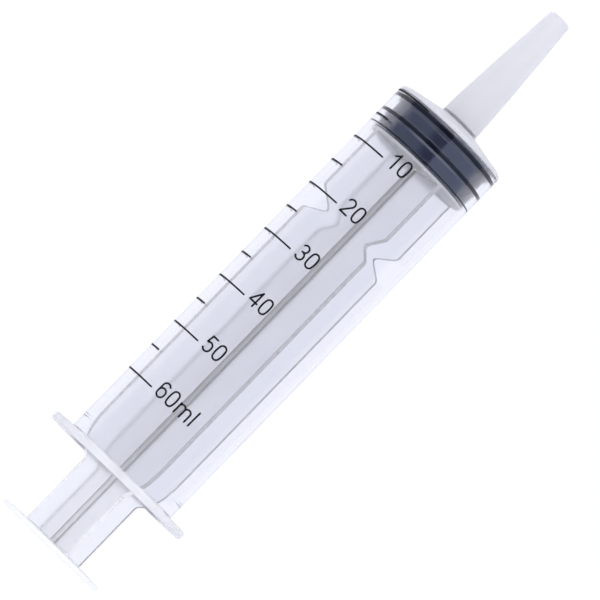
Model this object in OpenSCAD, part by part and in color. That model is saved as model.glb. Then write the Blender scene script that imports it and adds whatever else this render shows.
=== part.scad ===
// Oral syringe of 60 ml with a tapered tip: barrel, plunger rod, rubber piston and printed scale.
// The axis runs along X with the tip at +X. The syringe lies on one flat of its finger flange, at z = 0.

/* [Barrel] */
// Inside diameter of the tube
bore_d = 29; // [26:0.5:32]
// Wall thickness of the tube and the shoulder
wall_t = 1.3; // [1:0.1:1.6]
// From the flange's rear face to the corner of the shoulder
tube_len = 113.3; // [112:0.1:125]
// Slope of the shoulder's cone
shoulder_angle = 12.6; // [8:0.2:16]
// Height of the stop bead inside the mouth
bead_h = 0.1; // [0.1:0.05:0.2]
// From the flange's rear face to the stop bead
bead_x = 6; // [4:0.1:10]

/* [Finger flange] */
// Width over the two ears
flange_w = 41.5; // [38:0.1:50]
// Height over the two flats
flange_h = 34; // [33:0.2:36]
// Thickness
flange_t = 1.9; // [1.4:0.1:3]
// Rounding of the rim
flange_round = 0.5; // [0.2:0.1:0.6]

/* [Tip] */
// Length beyond the shoulder
tip_len = 34.8; // [25:0.1:40]
// Outside radius at the shoulder
tip_base_r = 5.2; // [4.6:0.1:6]
// Outside radius at the end
tip_end_r = 2.85; // [2.5:0.05:3.4]
// Bend of the taper, 1 is a straight cone
tip_bend = 1.2; // [1:0.05:1.4]
// Radius of the outlet
outlet_r = 1.7; // [1.2:0.1:1.8]
// Length of the outlet's straight hole
outlet_len = 8; // [5:0.5:12]

/* [Plunger rod] */
// How far the thumb disc stands behind the flange with the plunger pushed in
reach = 22.3; // [18:0.1:30]
// Diameter of the thumb disc
thumb_d = 30.3; // [28:0.1:34]
// Thickness of the thumb disc
thumb_t = 1.4; // [1.2:0.05:2]
// Reach of the ribs from the axis behind the flange
rib_narrow_r = 9.45; // [8:0.05:11]
// Reach of the ribs from the axis inside the barrel
rib_wide_r = 14.05; // [13.6:0.05:14.1]
// Thickness of a rib
rib_t = 1; // [0.8:0.1:1.6]
// Turn of the ribs about the axis
rib_turn = 28; // [0:1:45]
// From the thumb face to the middle of the notch
notch_x = 101.65; // [60:0.05:110]
// Reach of the ribs from the axis at the bottom of the notch
notch_r = 9.05; // [8:0.05:12]
// Thickness of the disc behind the piston
carrier_t = 0.8; // [0.8:0.1:2]

/* [Piston] */
// Length over the sealing rings
piston_len = 9.85; // [9:0.05:12]
// Radial gap that stands for the light press of rubber on the bore
piston_gap = 0.03; // [0.01:0.01:0.08]
// Depth of the groove behind the front ring
front_groove_h = 0.77; // [0.4:0.01:1]
// Depth of the groove behind the middle ring
rear_groove_h = 0.3; // [0.2:0.01:0.8]
// Running gap between the rod's neck and the piston
neck_gap = 0.05; // [0.03:0.01:0.1]

/* [Scale] */
// Largest volume on the scale, in ml
scale_max = 60; // [10:10:60]
// Turn of the print from zero to full scale, in degrees
scale_skew = 6.9; // [0:0.1:10]
// Thickness of the ink
ink_t = 0.06; // [0.05:0.01:0.1]
// Width of the lines
line_w = 0.42; // [0.3:0.01:0.6]
// Height of the numerals
digit_h = 4.4; // [4:0.05:5]
// Width of a numeral
digit_w = 2.5; // [2.3:0.05:3]
// Stroke of the numerals
stroke_w = 0.46; // [0.3:0.01:0.6]

/* [Hidden] */
$fn = 96;

bore_r = bore_d / 2;
tube_r = bore_r + wall_t;
axis_z = flange_h / 2;
shoulder_slope = tan(shoulder_angle);
shoulder_h = (tube_r - tip_base_r) * shoulder_slope;
rim_round = 1;
barrel_len = tube_len + shoulder_h + tip_len;
total_len = reach + barrel_len;

// Places along X
thumb_x = -total_len / 2;
flange_x = thumb_x + reach;
corner_x = flange_x + tube_len;
tip_x = corner_x + shoulder_h;
end_x = tip_x + tip_len;

// The shoulder's inside is the same cone, one wall thickness in
inner_corner_x = corner_x + wall_t * shoulder_slope - wall_t / cos(shoulder_angle);
lumen_wall = 1.25;
lumen_base_r = tip_base_r - lumen_wall;
lumen_x = inner_corner_x + (bore_r - lumen_base_r) * shoulder_slope;
outlet_x = end_x - outlet_len;

// The piston rests just behind the shoulder
shoulder_gap = 0.6;
piston_front_x = inner_corner_x - shoulder_gap;
piston_x = piston_front_x - piston_len;
piston_r = bore_r - piston_gap;
nose_r = 6.8;
nose_h = 1.05;

// The rod's disc, neck and head
carrier_gap = 0.1;
carrier_clearance = 0.35;
carrier_r = bore_r - carrier_clearance;
carrier_x = piston_x - carrier_gap - carrier_t;
neck_r = 4.5;
head_r = 7;
neck_len = 3.6;
head_len = 3.4;
head_rim = 1.6;
head_slope = 2;

// One ml fills this length of the bore
ml_len = 1000 / (PI * bore_r * bore_r);
zero_offset = 0.1;
zero_x = piston_front_x + zero_offset;
skew_per_ml = scale_skew / scale_max;
print_tilt = atan(tube_r * scale_skew * PI / 180 / (scale_max * ml_len));
line_start_angle = 98;
major_end_angle = 26.3;
minor_end_angle = 52.4;
unit_angle = 4.8;
digit_pitch_angle = 11.3;
m_drop_angle = 14;
l_drop_angle = 24.8;
baseline_drop = 1.1;

// Points on an arc about c, from angle a0 to a1
function arc(c, r, a0, a1, n = 6) =
    [for (i = [0:n]) c + r * [cos(a0 + (a1 - a0) * i / n), sin(a0 + (a1 - a0) * i / n)]];

// Moves a shape turned about Z onto the syringe's axis
module on_axis(x = 0) {
    translate([x, 0, axis_z]) rotate([0, 90, 0]) children();
}

// Outside radius of the tip, t from 0 at the shoulder to 1 at the end
function tip_r(t) = tip_base_r - (tip_base_r - tip_end_r) * pow(t, tip_bend);

/* Barrel: points are [radius, distance from the flange's rear face] */
module barrel_outside() {
    corner = tube_len;
    end = barrel_len;
    tip_round = 0.7;
    base_relief = 0.6;
    cone_end_r = tip_base_r + base_relief;
    taper_x = end - tip_len + base_relief;
    taper_len = tip_len - base_relief - tip_round;
    steps = 8;
    rotate_extrude() polygon(concat(
        [[0, 0], [tube_r, 0]],
        arc([tube_r - rim_round, corner - rim_round], rim_round, 0, 90 - shoulder_angle, 5),
        [[cone_end_r, corner + (tube_r - cone_end_r) * shoulder_slope]],
        [for (i = [0:steps - 1]) [tip_r(i / steps), taper_x + taper_len * i / steps]],
        arc([tip_r(1) - tip_round, end - tip_round], tip_round, 0, 90, 5),
        [[0, end]]
    ));
}

module barrel_inside() {
    bead_w = 0.5;
    mouth_widening = 0.3;
    mouth_len = 0.5;
    mouth_r = bore_r + mouth_widening;
    lumen = lumen_x - flange_x;
    rotate_extrude() polygon([
        [0, -1],
        [mouth_r, -1],
        [mouth_r, 0],
        [bore_r, mouth_len],
        [bore_r, bead_x - bead_w],
        [bore_r - bead_h, bead_x - bead_w / 3],
        [bore_r - bead_h, bead_x + bead_w / 3],
        [bore_r, bead_x + bead_w],
        [bore_r, inner_corner_x - flange_x],
        [lumen_base_r, lumen],
        [outlet_r, outlet_x - flange_x],
        [outlet_r, barrel_len + 1],
        [0, barrel_len + 1]
    ]);
}

module finger_flange() {
    r = flange_w / 2;
    intersection() {
        rotate_extrude() polygon(concat(
            [[0, 0]],
            arc([r - flange_round, flange_round], flange_round, -90, 0, 4),
            arc([r - flange_round, flange_t - flange_round], flange_round, 0, 90, 4),
            [[0, flange_t]]
        ));
        translate([-flange_h / 2, -flange_w, 0]) cube([flange_h, 2 * flange_w, flange_t]);
    }
}

module barrel() {
    color([0.88, 0.89, 0.95, 0.5]) on_axis(flange_x) difference() {
        union() {
            barrel_outside();
            finger_flange();
        }
        barrel_inside();
    }
}

/* Plunger rod */
// Reach of a rib at a distance from the thumb face
flare_start = 21;
flare_end = 37.5;
flare_power = 5;
function flare_left(s) = max(0, min(1, (flare_end - s) / (flare_end - flare_start)));
function rib_reach(s) = rib_wide_r - (rib_wide_r - rib_narrow_r) * pow(flare_left(s), flare_power);

// One pair of opposite ribs as a flat plate
module rib_plate() {
    flare_steps = 10;
    notch_rear = 3.2;
    notch_front = 3.8;
    notch_floor = 0.4;
    rib_end = carrier_x - thumb_x + carrier_t / 2;
    edge = concat(
        [[thumb_t / 2, rib_narrow_r]],
        [for (i = [0:flare_steps])
            let (s = flare_start + (flare_end - flare_start) * pow(i / flare_steps, 2)) [s, rib_reach(s)]],
        [[notch_x - notch_rear, rib_wide_r], [notch_x - notch_floor, notch_r]],
        [[notch_x + notch_floor, notch_r], [notch_x + notch_front, rib_wide_r]],
        [[rib_end, rib_wide_r]]
    );
    far_edge = [for (i = [len(edge) - 1:-1:0]) [edge[i][0], -edge[i][1]]];
    translate([0, 0, -rib_t / 2]) linear_extrude(rib_t) polygon(concat(edge, far_edge));
}

module thumb_disc() {
    r = thumb_d / 2;
    round_r = 0.45;
    rotate_extrude() polygon(concat(
        [[0, 0]],
        arc([r - round_r, round_r], round_r, -90, 0, 4),
        arc([r - round_r, thumb_t - round_r], round_r, 0, 90, 4),
        [[0, thumb_t]]
    ));
}

module carrier_and_head() {
    neck = carrier_t;
    head = neck + neck_len;
    rotate_extrude() polygon([
        [0, 0],
        [carrier_r, 0],
        [carrier_r, carrier_t],
        [neck_r, carrier_t],
        [neck_r, head],
        [head_r, head],
        [head_r, head + head_rim],
        [head_r - head_slope, head + head_len],
        [0, head + head_len]
    ]);
}

module plunger_rod() {
    color([0.86, 0.87, 0.94, 0.8]) union() {
        on_axis(thumb_x) thumb_disc();
        for (turn = [0, 90])
            translate([thumb_x, 0, axis_z]) rotate([90 + rib_turn + turn, 0, 0]) rib_plate();
        on_axis(carrier_x) carrier_and_head();
    }
}

/* Piston */
module piston() {
    rear_groove_r = piston_r - rear_groove_h;
    front_groove_r = piston_r - front_groove_h;
    rear_chamfer = 0.4;
    lip = 0.35;
    lip_w = 0.3;
    lip_slope = 0.25;
    middle = 4;
    middle_w = 0.85;
    middle_rise = 0.65;
    middle_fall = 0.45;
    front = 8.6;
    front_rise = 0.85;
    front_chamfer = 0.3;
    socket_head = neck_len - carrier_gap - neck_gap;
    socket_end = neck_len + head_len - carrier_gap + neck_gap;
    socket_r = head_r + neck_gap;
    color([0.22, 0.25, 0.31]) on_axis(piston_x) difference() {
        rotate_extrude() polygon([
            [0, 0],
            [piston_r - rear_chamfer, 0],
            [piston_r, lip],
            [piston_r, lip + lip_w],
            [rear_groove_r, lip + lip_w + lip_slope],
            [rear_groove_r, middle - middle_rise],
            [piston_r, middle],
            [piston_r, middle + middle_w],
            [front_groove_r, middle + middle_w + middle_fall],
            [front_groove_r, front - front_rise],
            [piston_r, front],
            [piston_r, piston_len - front_chamfer],
            [piston_r - front_chamfer, piston_len],
            [nose_r, piston_len + nose_h],
            [0, piston_len + nose_h]
        ]);
        rotate_extrude() polygon([
            [0, -1],
            [neck_r + neck_gap, -1],
            [neck_r + neck_gap, socket_head],
            [socket_r, socket_head],
            [socket_r, socket_head + head_rim + 2 * neck_gap],
            [socket_r - head_slope, socket_end],
            [0, socket_end]
        ]);
    }
}

/* Scale: a skin of ink on the tube */
module ink_skin() {
    margin = 1;
    on_axis(flange_x + flange_t + margin) difference() {
        cylinder(r = tube_r + ink_t, h = tube_len - flange_t - 2 * margin, $fn = 180);
        translate([0, 0, -1]) cylinder(r = tube_r, h = tube_len, $fn = 180);
    }
}

// Puts a shape at a volume and an angle from the top, its X along the syringe and its Z outward
module at_mark(ml, angle) {
    translate([zero_x - ml * ml_len, 0, axis_z])
        rotate([-(angle + ml * skew_per_ml), 0, 0])
            rotate([0, 0, -print_tilt])
                children();
}

// A line around the tube from the print's edge to end_angle
module scale_line(ml, end_angle) {
    half = (line_start_angle - end_angle) / 2;
    far = 2 * tube_r;
    at_mark(ml, (line_start_angle + end_angle) / 2)
        translate([-line_w / 2, 0, 0]) rotate([90, 0, 90]) linear_extrude(line_w)
            polygon([[0, 0], far * [sin(half), cos(half)], far * [0, 1], far * [-sin(half), cos(half)]]);
}

module scale_lines() {
    color([0.08, 0.08, 0.1]) intersection() {
        ink_skin();
        union() {
            for (ml = [0:10:scale_max]) scale_line(ml, major_end_angle);
            for (ml = [5:10:scale_max]) scale_line(ml, minor_end_angle);
        }
    }
}

// Strokes of the numerals: a bar between two points, and part of a ring
module bar(a, b) {
    d = b - a;
    translate(a) rotate(atan2(d[1], d[0])) translate([0, -stroke_w / 2]) square([norm(d), stroke_w]);
}

module bow(c, r, a0, a1) {
    far = 3 * r;
    mid = (a0 + a1) / 2;
    translate(c) intersection() {
        difference() {
            circle(r = r + stroke_w / 2, $fn = 48);
            circle(r = r - stroke_w / 2, $fn = 48);
        }
        polygon([[0, 0], far * [cos(a0), sin(a0)], far * [cos((a0 + mid) / 2), sin((a0 + mid) / 2)],
            far * [cos(mid), sin(mid)], far * [cos((a1 + mid) / 2), sin((a1 + mid) / 2)],
            far * [cos(a1), sin(a1)]]);
    }
}

// Places of the middle of the strokes: half a width, the foot and the head of a numeral
dw = (digit_w - stroke_w) / 2;
foot = stroke_w / 2;
head = digit_h - foot;

// An upright oval of two end arcs and two flat side arcs that meet them smoothly
module digit_0() {
    end_r = dw - 0.11;
    half = (head - foot) / 2 - end_r;
    side_r = (dw * dw + half * half - end_r * end_r) / (2 * (dw - end_r));
    meet = asin(half / (side_r - end_r));
    mid = (head + foot) / 2;
    lap = 3;
    bow([0, mid - half], end_r, 180 + meet - lap, 360 - meet + lap);
    bow([0, mid + half], end_r, meet - lap, 180 - meet + lap);
    bow([dw - side_r, mid], side_r, -meet, meet);
    bow([side_r - dw, mid], side_r, 180 - meet, 180 + meet);
}

module digit_1() {
    stem = 0.42;
    bar([stem, 0], [stem, digit_h]);
    bar([stem - 1.25, head - 1.1], [stem, head - 0.15]);
}

module digit_2() {
    top = head - dw;
    turn = -42;
    bow([0, top], dw, turn, 172);
    bar([dw * cos(turn), top + dw * sin(turn)], [-dw, foot + 0.1]);
    bar([-dw - foot, foot], [dw + foot, foot]);
}

module digit_3() {
    low_r = 0.265 * (head - foot);
    high_r = (head - foot) / 2 - low_r;
    bow([0, foot + low_r], low_r, -160, 90);
    bow([0, head - high_r], high_r, -90, 160);
    bar([-0.38, foot + 2 * low_r], [0.05, foot + 2 * low_r]);
}

module digit_4() {
    stem = 0.62;
    bar([stem, 0], [stem, digit_h]);
    bar([-1.38, 1.25], [1.3, 1.25]);
    bar([-1.18, 1.3], [stem, head]);
}

module digit_5() {
    straight = 0.4;
    bow([0, foot + dw], dw, -160, 0);
    bar([dw, foot + dw], [dw, foot + dw + straight]);
    bow([0, foot + dw + straight], dw, 0, 145);
    bar([-dw + 0.06, foot + dw + straight + 0.58], [-0.66, digit_h]);
    bar([-0.74, head], [dw, head]);
}

module digit_6() {
    straight = 0.36;
    bow([0, foot + dw], dw, 180, 360);
    bow([0, foot + dw + straight], dw, 0, 180);
    bar([dw, foot + dw], [dw, foot + dw + straight]);
    bar([-dw, foot + dw], [-dw, head - dw]);
    bow([0, head - dw], dw, 22, 180);
}

module letter_m() {
    height = 3.2;
    r = 0.85;
    for (side = [-1, 1]) {
        bow([side * r, height - r - foot], r, 0, 180);
        bar([side * 2 * r, 0], [side * 2 * r, height - r - foot]);
    }
    bar([0, 0], [0, height - r - foot]);
    bar([-2 * r, 0], [-2 * r, height]);
}

module letter_l() {
    bar([0, 0], [0, digit_h]);
}

module digit(n) {
    if (n == 0) digit_0();
    if (n == 1) digit_1();
    if (n == 2) digit_2();
    if (n == 3) digit_3();
    if (n == 4) digit_4();
    if (n == 5) digit_5();
    if (n == 6) digit_6();
}

// Stands a flat figure on the tube: it reads away from the lines and its top is towards the tip
module figure(ml, angle) {
    at_mark(ml, angle) translate([-baseline_drop, 0, tube_r - 1]) rotate([0, 0, -90])
        linear_extrude(2) children();
}

module scale_numerals() {
    color([0.08, 0.08, 0.1]) intersection() {
        ink_skin();
        union() {
            for (ml = [10:10:scale_max]) {
                figure(ml, unit_angle + digit_pitch_angle) digit(floor(ml / 10));
                figure(ml, unit_angle) digit_0();
            }
            figure(scale_max, unit_angle - m_drop_angle) letter_m();
            figure(scale_max, unit_angle - l_drop_angle) letter_l();
        }
    }
}

barrel();
plunger_rod();
piston();
scale_lines();
scale_numerals();
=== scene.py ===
"""An oral syringe of 60 ml: clear barrel with a printed scale, plunger rod and rubber piston.

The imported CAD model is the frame. Barrel, rod and piston are rebuilt with rounded edges.
The print is the CAD's own.
"""
import math

import bmesh
import bpy
from mathutils import Matrix, Vector


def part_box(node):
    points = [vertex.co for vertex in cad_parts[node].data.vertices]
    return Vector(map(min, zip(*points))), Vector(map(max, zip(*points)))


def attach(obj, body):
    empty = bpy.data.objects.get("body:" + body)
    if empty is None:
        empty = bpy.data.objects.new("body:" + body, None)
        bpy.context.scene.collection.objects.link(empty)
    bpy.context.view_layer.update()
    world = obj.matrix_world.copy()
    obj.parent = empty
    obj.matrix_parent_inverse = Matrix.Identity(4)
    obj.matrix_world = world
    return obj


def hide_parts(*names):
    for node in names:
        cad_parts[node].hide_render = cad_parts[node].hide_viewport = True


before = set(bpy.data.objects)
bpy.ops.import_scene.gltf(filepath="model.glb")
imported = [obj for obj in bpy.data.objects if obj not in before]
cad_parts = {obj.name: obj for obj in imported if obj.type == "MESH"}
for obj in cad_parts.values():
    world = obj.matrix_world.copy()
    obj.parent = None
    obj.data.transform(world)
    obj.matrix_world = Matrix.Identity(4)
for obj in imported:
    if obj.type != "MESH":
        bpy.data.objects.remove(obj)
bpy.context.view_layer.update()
scene = bpy.context.scene

MM = 0.001

# ---------------------------------------------------------------- sizes, in mm, as in the CAD
barrel_lo, barrel_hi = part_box("barrel")
rod_lo, rod_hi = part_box("plunger_rod")
piston_lo, piston_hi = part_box("piston")
AXIS_Y = (barrel_lo.y + barrel_hi.y) / 2 / MM
AXIS_Z = (barrel_lo.z + barrel_hi.z) / 2 / MM
FLANGE_X = barrel_lo.x / MM
END_X = barrel_hi.x / MM
THUMB_X = rod_lo.x / MM
PISTON_X = piston_lo.x / MM

BORE_R = 14.5
TUBE_R = 15.8
TUBE_LEN = 113.3
SHOULDER_ANGLE = math.radians(12.6)
SHOULDER_SLOPE = math.tan(SHOULDER_ANGLE)
WALL_T = TUBE_R - BORE_R
FLANGE_R = (barrel_hi.y - barrel_lo.y) / 2 / MM
FLANGE_FLAT = (barrel_hi.z - barrel_lo.z) / 2 / MM
FLANGE_T = 1.9
TIP_LEN = 34.8
TIP_BASE_R = 5.2
TIP_END_R = 2.85
TIP_BEND = 1.2
OUTLET_R = 1.7
OUTLET_LEN = 8
BARREL_LEN = END_X - FLANGE_X
THUMB_R = 15.15
THUMB_T = 1.4
RIB_NARROW_R = 9.45
RIB_WIDE_R = 14.05
RIB_T = 1.0
RIB_TURN = 28
FLARE_START = 21.0
FLARE_END = 37.5
NOTCH_X = 101.65
NOTCH_R = 9.05
NOTCH_REAR, NOTCH_FRONT, NOTCH_FLOOR = 3.2, 3.8, 0.4
ROOT_ROUND = 0.18
TIP_ROUND = 0.12
HUB_R = 1.2  # how far out the root of the ribs reaches, and with it the root's painted shade
SUPPORT = 0.1  # distance of a support point from the arc that it steadies
SIDE_SHARE = 0.45  # the most of a straight side that a rounding may take
FILLET_R = 0.25
CARRIER_T = 0.8
CARRIER_R = 14.15
CARRIER_GAP = 0.1  # between the disc on the rod and the piston's rear face
CARRIER_X = PISTON_X - CARRIER_GAP - CARRIER_T
NECK_R, NECK_LEN = 4.5, 3.6
HEAD_R, HEAD_LEN, HEAD_RIM, HEAD_SLOPE = 7, 3.4, 1.6, 2
SOCKET_GAP = 0.05  # round the rod's neck and head
TURNED_SIDES = 192
FINE_SIDES = 240


# ---------------------------------------------------------------- mesh helpers
def rounded(corners, steps=5, closed=False):
    """Path through (x, r, rounding) corners.

    Each corner is an arc with a support point just outside both its ends.
    """
    path = []
    count = len(corners)
    for i, (x, r, f) in enumerate(corners):
        p = Vector((x, r))
        if not closed and i in (0, count - 1) or f == 0:
            path.append(p)
            continue
        before, after = Vector(corners[i - 1][:2]), Vector(corners[(i + 1) % count][:2])
        u, w = (before - p), (after - p)
        room = SIDE_SHARE * min(u.length, w.length)
        u.normalize()
        w.normalize()
        half = u.angle(w) / 2
        t = min(f / math.tan(half), room)
        f = t * math.tan(half)
        centre = p + (u + w).normalized() * f / math.sin(half)
        start, end = p + u * t - centre, p + w * t - centre
        turn = start.angle_signed(end)
        support = min(0.25 * f, SUPPORT)
        path.append(p + u * (t + support))
        for k in range(steps + 1):
            a = -turn * k / steps
            c, s = math.cos(a), math.sin(a)
            path.append(centre + Vector((start.x * c - start.y * s, start.x * s + start.y * c)))
        path.append(p + w * (t + support))
    return path


def new_object(name, bm, sharp_deg=40):
    """Object in the scene from a bmesh in mm, in the shared frame.

    It is smooth but for edges sharper than sharp_deg.
    """
    bmesh.ops.remove_doubles(bm, verts=bm.verts, dist=1e-5)
    bmesh.ops.recalc_face_normals(bm, faces=bm.faces)
    for v in bm.verts:
        v.co *= MM
    limit = math.radians(sharp_deg)
    for e in bm.edges:
        e.smooth = len(e.link_faces) != 2 or e.calc_face_angle(0) < limit
    for f in bm.faces:
        f.smooth = True
    mesh = bpy.data.meshes.new(name)
    bm.to_mesh(mesh)
    bm.free()
    obj = bpy.data.objects.new(name, mesh)
    scene.collection.objects.link(obj)
    return obj


def skin(bm, rings, closed_path):
    """Quads between neighbouring rings; each ring is a list of verts, or one vert on the axis."""
    pairs = list(zip(rings, rings[1:] + rings[:1])) if closed_path else list(zip(rings, rings[1:]))
    for a, b in pairs:
        n = max(len(a), len(b))
        for i in range(n):
            j = (i + 1) % n
            quad = [a[i % len(a)], a[j % len(a)], b[j % len(b)], b[i % len(b)]]
            face = []
            for v in quad:
                if v not in face:
                    face.append(v)
            if len(face) > 2:
                bm.faces.new(face)


def lathe(x0, path_at, angles, closed_path=False):
    """Bmesh of a path turned about the axis.

    path_at(angle) gives (x, r) points, always the same number of them.
    """
    bm = bmesh.new()
    paths = [path_at(a) for a in angles]
    rings = []
    for k in range(len(paths[0])):
        if all(p[k][1] < 1e-6 for p in paths):
            rings.append([bm.verts.new((x0 + paths[0][k][0], AXIS_Y, AXIS_Z))])
            continue
        ring = []
        for a, p in zip(angles, paths):
            x, r = p[k]
            ring.append(bm.verts.new((x0 + x, AXIS_Y + r * math.cos(a), AXIS_Z + r * math.sin(a))))
        rings.append(ring)
    skin(bm, rings, closed_path)
    return bm


def even_angles(n):
    return [2 * math.pi * i / n for i in range(n)]


def full_turn(path):
    """The same path at every angle."""
    return lambda a: path


# ---------------------------------------------------------------- barrel
def rim_radius(a):
    """Outline of the flange: a round disc cut by two flats, with the corners eased."""
    flat = FLANGE_FLAT / max(abs(math.sin(a)), 1e-6)
    ease = 0.35
    lo, hi = min(flat, FLANGE_R), max(flat, FLANGE_R)
    gap = hi - lo
    return lo - max(ease - gap, 0) ** 2 / (4 * ease)


def tip_radius(t):
    return TIP_BASE_R - (TIP_BASE_R - TIP_END_R) * t ** TIP_BEND


SHOULDER_X = TUBE_LEN + (TUBE_R - TIP_BASE_R) * SHOULDER_SLOPE
INNER_CORNER = TUBE_LEN + WALL_T * SHOULDER_SLOPE - WALL_T / math.cos(SHOULDER_ANGLE)
LUMEN_R = TIP_BASE_R - 1.25
LUMEN_X = INNER_CORNER + (BORE_R - LUMEN_R) * SHOULDER_SLOPE
BEAD_X, BEAD_H, BEAD_W = 6, 0.06, 0.5


def barrel_path(a):
    rim = rim_radius(a)
    tip_steps = 8
    taper = []
    for i in range(1, tip_steps):
        t = i / tip_steps
        taper.append((BARREL_LEN - TIP_LEN + TIP_LEN * t, tip_radius(t), 0))
    bore = [
        (0, BORE_R + 0.3, 0.12),
        (0, rim, 0.5),
        (FLANGE_T, rim, 0.5),
        (FLANGE_T, TUBE_R, 0.45),
        (TUBE_LEN, TUBE_R, 1.1),
        (SHOULDER_X, TIP_BASE_R, 0.7),
        *taper,
        (BARREL_LEN, tip_radius(1), 0.85),
        (BARREL_LEN, OUTLET_R, 0.2),
        (BARREL_LEN - OUTLET_LEN, OUTLET_R, 0.5),
        (LUMEN_X, LUMEN_R, 0.5),
        (INNER_CORNER, BORE_R, 0.5),
        (BEAD_X + BEAD_W, BORE_R, 0.3),
        (BEAD_X + BEAD_W / 3, BORE_R - BEAD_H, 0.1),
        (BEAD_X - BEAD_W / 3, BORE_R - BEAD_H, 0.1),
        (BEAD_X - BEAD_W, BORE_R, 0.3),
        (0.5, BORE_R, 0.1),
    ]
    return [tuple(p) for p in rounded(bore, closed=True)]


def flange_angles():
    """Even angles, with more of them at the flange's four corners."""
    corner = math.asin(FLANGE_FLAT / FLANGE_R)
    found = set(even_angles(FINE_SIDES))
    for c in (corner, math.pi - corner, math.pi + corner, 2 * math.pi - corner):
        found |= {c + math.radians(0.25 * k) for k in range(-6, 7)}
    angles = sorted(found)
    kept = [angles[0]]
    for a in angles[1:]:
        if a - kept[-1] > math.radians(0.15):
            kept.append(a)
    return kept


barrel = new_object("barrel_shell", lathe(FLANGE_X, barrel_path, flange_angles(), closed_path=True))
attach(barrel, "barrel_body")
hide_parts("barrel")


# ---------------------------------------------------------------- plunger rod
def rib_profile(s):
    """Reach of a rib at s mm from the thumb face, with sharp corners."""
    left = 1 - min(max((s - FLARE_START) / (FLARE_END - FLARE_START), 0), 1)
    reach = RIB_WIDE_R - (RIB_WIDE_R - RIB_NARROW_R) * left ** 5
    d = s - NOTCH_X
    side = NOTCH_REAR if d < 0 else NOTCH_FRONT
    slope = (abs(d) - NOTCH_FLOOR) / (side - NOTCH_FLOOR)
    return min(reach, NOTCH_R + (RIB_WIDE_R - NOTCH_R) * max(slope, 0))


def rib_reach(s):
    """Reach of a rib with the corners of its outline eased over a short length."""
    ease = 0.45
    return sum(rib_profile(s + ease * k / 2) for k in range(-2, 3)) / 5


def cross_section(reach, extra=0.0):
    """Outline of four ribs, rounded at the tips and in the roots, grown by extra."""
    h = RIB_T / 2 + extra
    f = ROOT_ROUND
    c = TIP_ROUND
    points = []
    flat_end = reach - c - SUPPORT
    inner = [h + f, h + f + SUPPORT] + [HUB_R + (flat_end - HUB_R) * i / 3 for i in range(4)]
    for k in range(4):
        local = []
        for p in inner:
            local.append((p, -h))
        for i in range(6):
            a = -math.pi / 2 + math.pi / 2 * i / 5
            local.append((reach - c + c * math.cos(a), -h + c + c * math.sin(a)))
        for i in range(6):
            a = math.pi / 2 * i / 5
            local.append((reach - c + c * math.cos(a), h - c + c * math.sin(a)))
        for p in inner[::-1]:
            local.append((p, h))
        for i in range(1, 5):
            a = -math.pi / 2 - math.pi / 2 * i / 5
            local.append((h + f + f * math.cos(a), h + f + f * math.sin(a)))
        turn = math.radians(RIB_TURN) + k * math.pi / 2
        for p, q in local:
            points.append((p * math.cos(turn) - q * math.sin(turn), p * math.sin(turn) + q * math.cos(turn)))
    return points


def fillet_sections():
    """(distance from a disc's face, growth) of the sections in the fillet between the ribs and a disc."""
    start_deg, step_deg, sunk, sunk_growth = 10, 16, 0.4, 0.82
    start = math.sin(math.radians(start_deg))
    sections = [(-sunk, FILLET_R * sunk_growth)]
    for i in range(6):
        rise_now = math.sin(math.radians(start_deg + step_deg * i))
        sections.append((FILLET_R * (rise_now - start), FILLET_R * (1 - rise_now)))
    return sections


def rib_stations():
    """(distance from the thumb face, growth) of each section along the rod."""
    face_a, face_b = THUMB_T, CARRIER_X - THUMB_X
    flare = (-0.6, -0.3, 0, 0.3, 0.6, 0.9, 1.3, 1.8, 2.4, 3.1, 4, 5, 6.2, 7.6, 9.5, 12, 14.5)
    valley = (-1.7, -0.9, -0.65, -0.4, -0.2, 0, 0.2, 0.4, 0.65, 0.9, 2)
    lip = (-0.5, -0.25, 0, 0.25, 0.5)
    middle = [face_a + 1 + i * 1.5 for i in range(12)]
    middle += [FLARE_START + d for d in flare]
    middle += [FLARE_END + 3 * i for i in range(20)]
    middle += [NOTCH_X - NOTCH_REAR + d for d in lip]
    middle += [NOTCH_X + d for d in valley]
    middle += [NOTCH_X + NOTCH_FRONT + d for d in lip]
    middle += [NOTCH_X + NOTCH_FRONT + 0.5 + i * 2 for i in range(1, 9)]
    stations = [(face_a + d, growth) for d, growth in fillet_sections()]
    stations += [(s, 0.0) for s in sorted(set(middle)) if face_a + 0.9 < s < face_b - 0.9]
    stations += [(face_b - d, growth) for d, growth in reversed(fillet_sections())]
    return stations


def rod_ribs():
    bm = bmesh.new()
    rings = []
    for s, extra in rib_stations():
        outline = cross_section(rib_reach(s), extra)
        rings.append([bm.verts.new((THUMB_X + s, AXIS_Y + y, AXIS_Z + z)) for y, z in outline])
    skin(bm, rings, False)
    bm.faces.new(rings[0])
    bm.faces.new(rings[-1])
    return bm


def thumb_disc():
    path = rounded([
        (0, 0, 0), (0, THUMB_R - 2, 6), (0.15, THUMB_R, 0.45), (THUMB_T - 0.3, THUMB_R, 0.4),
        (THUMB_T, THUMB_R - 4, 6), (THUMB_T, 0, 0)])
    return lathe(THUMB_X, full_turn([tuple(p) for p in path]), even_angles(TURNED_SIDES))


def carrier_and_head():
    neck = CARRIER_T
    head = neck + NECK_LEN
    path = rounded([
        (0, 0, 0), (0, CARRIER_R, 0.2), (neck, CARRIER_R, 0.2), (neck, NECK_R, 0.3), (head, NECK_R, 0.2),
        (head, HEAD_R, 0.25), (head + HEAD_RIM, HEAD_R, 0.4), (head + HEAD_LEN, HEAD_R - HEAD_SLOPE, 0.4),
        (head + HEAD_LEN, 0, 0)])
    return lathe(CARRIER_X, full_turn([tuple(p) for p in path]), even_angles(TURNED_SIDES))


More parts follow.
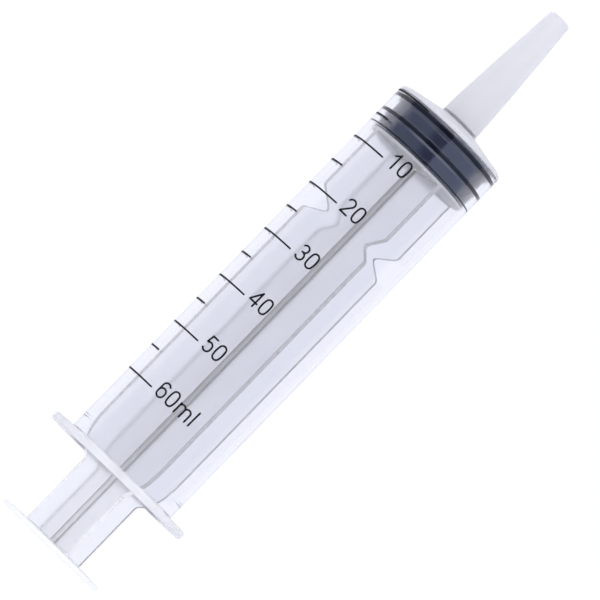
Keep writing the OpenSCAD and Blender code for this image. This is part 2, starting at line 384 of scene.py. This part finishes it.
def joined(base, *others):
    """Joins closed meshes into one skin."""
    for other in others:
        mod = base.modifiers.new("join", "BOOLEAN")
        mod.operation = "UNION"
        mod.solver = "EXACT"
        mod.object = other
    bpy.context.view_layer.update()
    depsgraph = bpy.context.evaluated_depsgraph_get()
    mesh = bpy.data.meshes.new_from_object(base.evaluated_get(depsgraph))
    base.modifiers.clear()
    old = base.data
    base.data = mesh
    bpy.data.meshes.remove(old)
    for other in others:
        bpy.data.objects.remove(other)
    return base


rod = new_object("rod_moulding", rod_ribs())
rod = joined(rod, new_object("disc_a", thumb_disc()), new_object("disc_b", carrier_and_head()))
bm = bmesh.new()
bm.from_mesh(rod.data)
for e in bm.edges:
    e.smooth = len(e.link_faces) != 2 or e.calc_face_angle(0) < math.radians(35)
for f in bm.faces:
    f.smooth = True
bm.to_mesh(rod.data)
bm.free()
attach(rod, "rod_body")
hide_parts("plunger_rod")


# ---------------------------------------------------------------- piston
PRESS = 0.02  # how far the rings reach into the wall, which makes them look wetted to it


def piston_outline():
    front, cone_r = 10.9, 6.8
    top = BORE_R + PRESS
    rear_groove = BORE_R - 0.33
    front_groove = BORE_R - 0.8
    sealing = [
        (0, top - 0.45, 0.15),
        (0.35, top, 0.08),
        (0.65, top, 0.08),
        (0.9, rear_groove, 0.25),
        (3.35, rear_groove, 0.35),
        (4.0, top, 0.12),
        (4.85, top, 0.12),
        (5.3, front_groove, 0.3),
        (7.75, front_groove, 0.5),
        (8.6, top, 0.12),
        (9.5, top, 0.15),
        (9.8, top - 0.35, 0.2),
        (front, cone_r, 0.8),
    ]
    socket_head = NECK_LEN - CARRIER_GAP - SOCKET_GAP
    socket_end = NECK_LEN + HEAD_LEN - CARRIER_GAP + SOCKET_GAP
    socket_r = HEAD_R + SOCKET_GAP
    neck_r = NECK_R + SOCKET_GAP
    socket = [
        (socket_end, 0, 0),
        (socket_end, socket_r - HEAD_SLOPE, 0.3),
        (socket_head + HEAD_RIM + 0.1, socket_r, 0.3),
        (socket_head, socket_r, 0.2),
        (socket_head, neck_r, 0.1),
        (0, neck_r, 0.2),
    ]
    corners = socket + sealing + [(front, 0, 0)]
    return [tuple(p) for p in rounded(corners)]


piston_mesh = lathe(PISTON_X, full_turn(piston_outline()), even_angles(FINE_SIDES))
piston = new_object("piston_rubber", piston_mesh, sharp_deg=60)
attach(piston, "piston_body")
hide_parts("piston")


# ---------------------------------------------------------------- materials
def principled(name, **values):
    mat = bpy.data.materials.new(name)
    mat.use_nodes = True
    node = mat.node_tree.nodes["Principled BSDF"]
    for key, value in values.items():
        node.inputs[key.replace("_", " ")].default_value = value
    return mat, mat.node_tree, node


def noise(tree, scale, detail=3.0):
    coords = tree.nodes.new("ShaderNodeTexCoord")
    tex = tree.nodes.new("ShaderNodeTexNoise")
    tex.inputs["Scale"].default_value = scale
    tex.inputs["Detail"].default_value = detail
    tree.links.new(coords.outputs["Object"], tex.inputs["Vector"])
    return tex.outputs["Fac"]


def ramp(tree, factor, low, high, at=(0.35, 0.65)):
    """Colour from low to high between the two factors in at."""
    node = tree.nodes.new("ShaderNodeValToRGB")
    for element, position, colour in zip(node.color_ramp.elements, at, (low, high)):
        element.position = position
        element.color = (*colour, 1)
    tree.links.new(factor, node.inputs["Fac"])
    return node.outputs["Color"]


def spread(tree, factor, low, high, at=(0.3, 0.7)):
    """Number from low to high between the two factors in at."""
    node = tree.nodes.new("ShaderNodeMapRange")
    node.inputs["From Min"].default_value = at[0]
    node.inputs["From Max"].default_value = at[1]
    node.inputs["To Min"].default_value = low
    node.inputs["To Max"].default_value = high
    tree.links.new(factor, node.inputs["Value"])
    return node.outputs["Result"]


def bump(tree, shader, height, distance_mm):
    node = tree.nodes.new("ShaderNodeBump")
    node.inputs["Strength"].default_value = 1.0
    node.inputs["Distance"].default_value = distance_mm * MM
    tree.links.new(height, node.inputs["Height"])
    tree.links.new(node.outputs["Normal"], shader.inputs["Normal"])


def surface(tree, shader, low, high, cloud_scale, rough, rough_scale):
    """Slightly cloudy colour from low to high, and roughness that varies between the two values of rough."""
    tree.links.new(ramp(tree, noise(tree, cloud_scale), low, high), shader.inputs["Base Color"])
    tree.links.new(spread(tree, noise(tree, rough_scale, 4), *rough), shader.inputs["Roughness"])


def plastic(name, low, high, transmission, rough, density):
    """Polypropylene. density is how strongly it tints light inside it, or 0."""
    tint = (0.7, 0.72, 0.85, 1)
    mat, tree, shader = principled(name, IOR=1.49, Transmission_Weight=transmission)
    if density:
        volume = tree.nodes.new("ShaderNodeVolumeAbsorption")
        volume.inputs["Color"].default_value = tint
        volume.inputs["Density"].default_value = density
        tree.links.new(volume.outputs["Volume"], tree.nodes["Material Output"].inputs["Volume"])
    surface(tree, shader, low, high, 60, rough, 220)
    bump(tree, shader, noise(tree, 45, 1), 0.05)
    return mat


def rubber_material(name, low, high, specular, rough):
    mat, tree, shader = principled(name, Specular_IOR_Level=specular)
    surface(tree, shader, low, high, 90, rough, 400)
    bump(tree, shader, noise(tree, 1500, 3), 0.01)
    return mat


def ink_material():
    mat, tree, shader = principled("scale_ink", Specular_IOR_Level=0.25)
    surface(tree, shader, (0.003, 0.003, 0.004), (0.007, 0.007, 0.009), 700, (0.5, 0.65), 900)
    return mat


SATIN = (0.34, 0.42)
clear = plastic("clear_polypropylene", (0.975, 0.975, 0.985), (0.985, 0.985, 0.99), 1.0, (0.05, 0.08), 15)
frosted = plastic("frosted_polypropylene", (0.90, 0.90, 0.92), (0.92, 0.92, 0.935), 0.4, SATIN, 10)
flange_white = plastic("flange_polypropylene", (0.955, 0.955, 0.965), (0.965, 0.965, 0.975), 0.4, SATIN, 10)

ROD_SATIN = (0.34, 0.4)
milky = plastic("rod_polypropylene", (0.985, 0.985, 0.99), (0.995, 0.995, 0.998), 0.97, (0.17, 0.21), 0)
satin = plastic("rod_polypropylene_satin", (0.965, 0.97, 0.985), (0.975, 0.98, 0.99), 0.1, ROD_SATIN, 0)
edges = plastic("rod_polypropylene_edges", (0.97, 0.97, 0.98), (0.98, 0.98, 0.985), 0.2, (0.24, 0.3), 0)
# Satin like the discs but a darker grey: painted shade in the crease where the four ribs meet.
root = plastic("rod_polypropylene_root_painted_shade", (0.90, 0.905, 0.92), (0.915, 0.92, 0.935), 0.1, ROD_SATIN, 0)

rubber = rubber_material("piston_rubber", (0.030, 0.037, 0.081), (0.034, 0.041, 0.089), 1.0, (0.12, 0.18))
# The same rubber painted several times darker where the rings press the bore's wall: painted shade for the
# dark contact bands. It has no specular, as the wetted wall gives no reflection there.
pressed_painted_shade = rubber_material(
    "piston_rubber_pressed_painted_shade", (0.0075, 0.0115, 0.023), (0.0085, 0.0125, 0.025), 0.0, (0.5, 0.6))
ink = ink_material()


def dress(obj, materials, slot_at):
    """Gives a piece its materials.

    slot_at(x, y, z) picks a face's, from its middle in mm, with y and z counted from the axis.
    """
    obj.data.materials.clear()
    for mat in materials:
        obj.data.materials.append(mat)
    for polygon in obj.data.polygons:
        x, y, z = (c / MM for c in polygon.center)
        polygon.material_index = slot_at(x, y - AXIS_Y, z - AXIS_Z)


def barrel_slot(x, y, z):
    """Satin flange (2), frosted shoulder and tip (1), and clear tube and fillet at the tip (0)."""
    flange_seam, wall_seam, corner_seam, fillet_half, fillet_depth = 0.2, 0.3, 1.0, 0.6, 0.1
    from_axis = math.hypot(y, z)
    if x < FLANGE_X + FLANGE_T + flange_seam and from_axis > TUBE_R - wall_seam:
        return 2
    in_front = x > FLANGE_X + TUBE_LEN - corner_seam
    in_fillet = abs(x - FLANGE_X - SHOULDER_X) < fillet_half and from_axis > TIP_BASE_R - fillet_depth
    return 1 if in_front and not in_fillet else 0


def rod_slot(x, y, z):
    """Satin discs (1), rib edges (2), the ribs' root, painted a darker grey as painted shade in the crease
    (3), and milky ribs (0).
    """
    disc_seam, edge_depth = 0.3, 0.25
    quarter = math.pi / 2
    s = x - THUMB_X
    if s < THUMB_T + disc_seam or s > CARRIER_X - THUMB_X - disc_seam:
        return 1
    angle = math.atan2(z, y) - math.radians(RIB_TURN)
    from_axis = math.hypot(y, z)
    from_rib = (angle + quarter / 2) % quarter - quarter / 2
    if from_axis * math.cos(from_rib) > rib_reach(s) - edge_depth:
        return 2
    return 3 if from_axis < HUB_R else 0


def piston_slot(x, y, z):
    """Rubber where it presses the bore's wall, painted darker as painted shade for the dark contact bands
    (1), and free rubber (0).
    """
    near_wall = 0.03
    return 1 if math.hypot(y, z) > BORE_R - near_wall else 0


dress(barrel, (clear, frosted, flange_white), barrel_slot)
dress(rod, (milky, satin, edges, root), rod_slot)
dress(piston, (rubber, pressed_painted_shade), piston_slot)
for node in ("scale_lines", "scale_numerals"):
    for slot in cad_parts[node].material_slots:
        slot.material = ink


# ---------------------------------------------------------------- floor, light, camera
WHITE = (1.02, 1.02, 1.02)
PALE_FLOOR = (0.95, 0.965, 1.06)
EVEN_SKY = (1.1, 1.11, 1.17)
FLOOR_R, FLOOR_Z = 4000, -0.05
TILT = math.radians(3.9)
TOWARD = Vector((-math.sin(TILT), 0, math.cos(TILT)))
ALONG = Vector((math.cos(TILT), 0, math.sin(TILT)))
ACROSS = Vector((0, 1, 0))
TARGET = Vector((-3.98, -1.97, AXIS_Z)) * MM
ROLL = math.radians(45.86)
DISTANCE = 1.406


def mixed(tree, factor, a, b):
    """a where factor is 0, b where it is 1 or more. a and b are each a socket or a colour."""
    node = tree.nodes.new("ShaderNodeMix")
    node.data_type = "RGBA"
    node.clamp_factor = True
    tree.links.new(factor, node.inputs["Factor"])
    for name, value in (("A", a), ("B", b)):
        if isinstance(value, tuple):
            node.inputs[name].default_value = (*value, 1)
        else:
            tree.links.new(value, node.inputs[name])
    return node.outputs["Result"]


def table_top():
    """Plain floor that glows evenly: white to the camera, pale lavender to every other ray."""
    bm = bmesh.new()
    place = Matrix.Translation((0, 0, FLOOR_Z))
    bmesh.ops.create_circle(bm, cap_ends=True, segments=64, radius=FLOOR_R, matrix=place)
    table = new_object("table_top", bm)
    mat, tree, shader = principled("table_white", Roughness=0.9, Specular_IOR_Level=0, Emission_Strength=1.0)
    shader.inputs["Base Color"].default_value = (0, 0, 0, 1)
    light_path = tree.nodes.new("ShaderNodeLightPath")
    sheet = mixed(tree, light_path.outputs["Is Camera Ray"], PALE_FLOOR, WHITE)
    tree.links.new(sheet, shader.inputs["Emission Color"])
    table.data.materials.append(mat)
    return table


def math_node(tree, operation, *values):
    node = tree.nodes.new("ShaderNodeMath")
    node.operation = operation
    for socket, value in zip(node.inputs, values):
        tree.links.new(value, socket)
    return node.outputs[0]


def rise(tree, value, start, full):
    """0 at start, rising to 1 at full."""
    node = tree.nodes.new("ShaderNodeMapRange")
    node.interpolation_type = "SMOOTHSTEP"
    node.inputs["From Min"].default_value = start
    node.inputs["From Max"].default_value = full
    tree.links.new(value, node.inputs["Value"])
    return node.outputs["Result"]


def studio_world():
    """Soft light: dim above, pale at the sides, bright beyond both ends, and a broad glow on each long side.

    The camera sees it white, and rays scattered by a rough surface see an even sky.
    """
    world = bpy.data.worlds.new("studio")
    world.use_nodes = True
    tree = world.node_tree
    coords = tree.nodes.new("ShaderNodeTexCoord").outputs["Generated"]
    split = tree.nodes.new("ShaderNodeSeparateXYZ")
    tree.links.new(coords, split.inputs["Vector"])
    sides = ramp(tree, split.outputs["Z"], (0.45, 0.46, 0.52), (0.05, 0.052, 0.06), at=(0.05, 0.5))
    length_way = math_node(tree, "ABSOLUTE", split.outputs["X"])
    light = mixed(tree, spread(tree, length_way, 0.0, 1.0, at=(0.2, 0.4)), sides, (1.6, 1.63, 1.78))

    toward = tree.nodes.new("ShaderNodeVectorMath")
    toward.operation = "DOT_PRODUCT"
    toward.inputs[1].default_value = TOWARD
    tree.links.new(coords, toward.inputs[0])
    round_axis = math_node(tree, "ARCTAN2", split.outputs["Y"], toward.outputs["Value"])
    for start_deg, full_deg, colour in ((-8.8, -10.2, (0.45, 0.50, 0.68)), (12, 30, (0.29, 0.33, 0.44))):
        side = rise(tree, round_axis, math.radians(start_deg), math.radians(full_deg))
        between_ends = rise(tree, length_way, 0.72, 0.6)
        light = mixed(tree, math_node(tree, "MULTIPLY", side, between_ends), light, colour)

    light_path = tree.nodes.new("ShaderNodeLightPath")
    room = mixed(tree, light_path.outputs["Diffuse Depth"], light, EVEN_SKY)
    seen = mixed(tree, light_path.outputs["Is Camera Ray"], room, WHITE)
    tree.links.new(seen, tree.nodes["Background"].inputs["Color"])
    return world


def placed(x, y, z, at):
    """Matrix of an object with the given axes, at a point."""
    return Matrix((*zip(x, y, z, at), (0, 0, 0, 1)))


def softbox():
    """Rectangle of soft light over the syringe, on the camera's side, that lights rough surfaces only."""
    width, length, distance, strength = 1.6, 1.8, 1.2, 0.08
    data = bpy.data.lights.new("softbox_over", "AREA")
    data.shape = "RECTANGLE"
    data.size = length
    data.size_y = width
    data.energy = strength * width * length * math.pi
    data.color = (0.95, 0.97, 1.0)
    obj = bpy.data.objects.new("softbox_over", data)
    scene.collection.objects.link(obj)
    obj.matrix_world = placed(ALONG, TOWARD.cross(ALONG).normalized(), TOWARD, TARGET + TOWARD * distance)
    obj.visible_camera = False
    obj.visible_glossy = False
    obj.visible_transmission = False


def studio_camera():
    data = bpy.data.cameras.new("camera")
    data.lens = 360
    data.sensor_width = 36
    data.clip_start = 0.05
    data.clip_end = 50
    camera = bpy.data.objects.new("camera", data)
    scene.collection.objects.link(camera)
    right = ALONG * math.cos(ROLL) - ACROSS * math.sin(ROLL)
    up = ALONG * math.sin(ROLL) + ACROSS * math.cos(ROLL)
    camera.matrix_world = placed(right, up, TOWARD, TARGET + TOWARD * DISTANCE)
    return camera


table = table_top()
scene.world = studio_world()
softbox()
scene.camera = studio_camera()
scene.view_settings.view_transform = "Standard"
scene.view_settings.look = "None"
scene.cycles.max_bounces = 32
scene.cycles.diffuse_bounces = 8
scene.cycles.glossy_bounces = 16
scene.cycles.transmission_bounces = 32
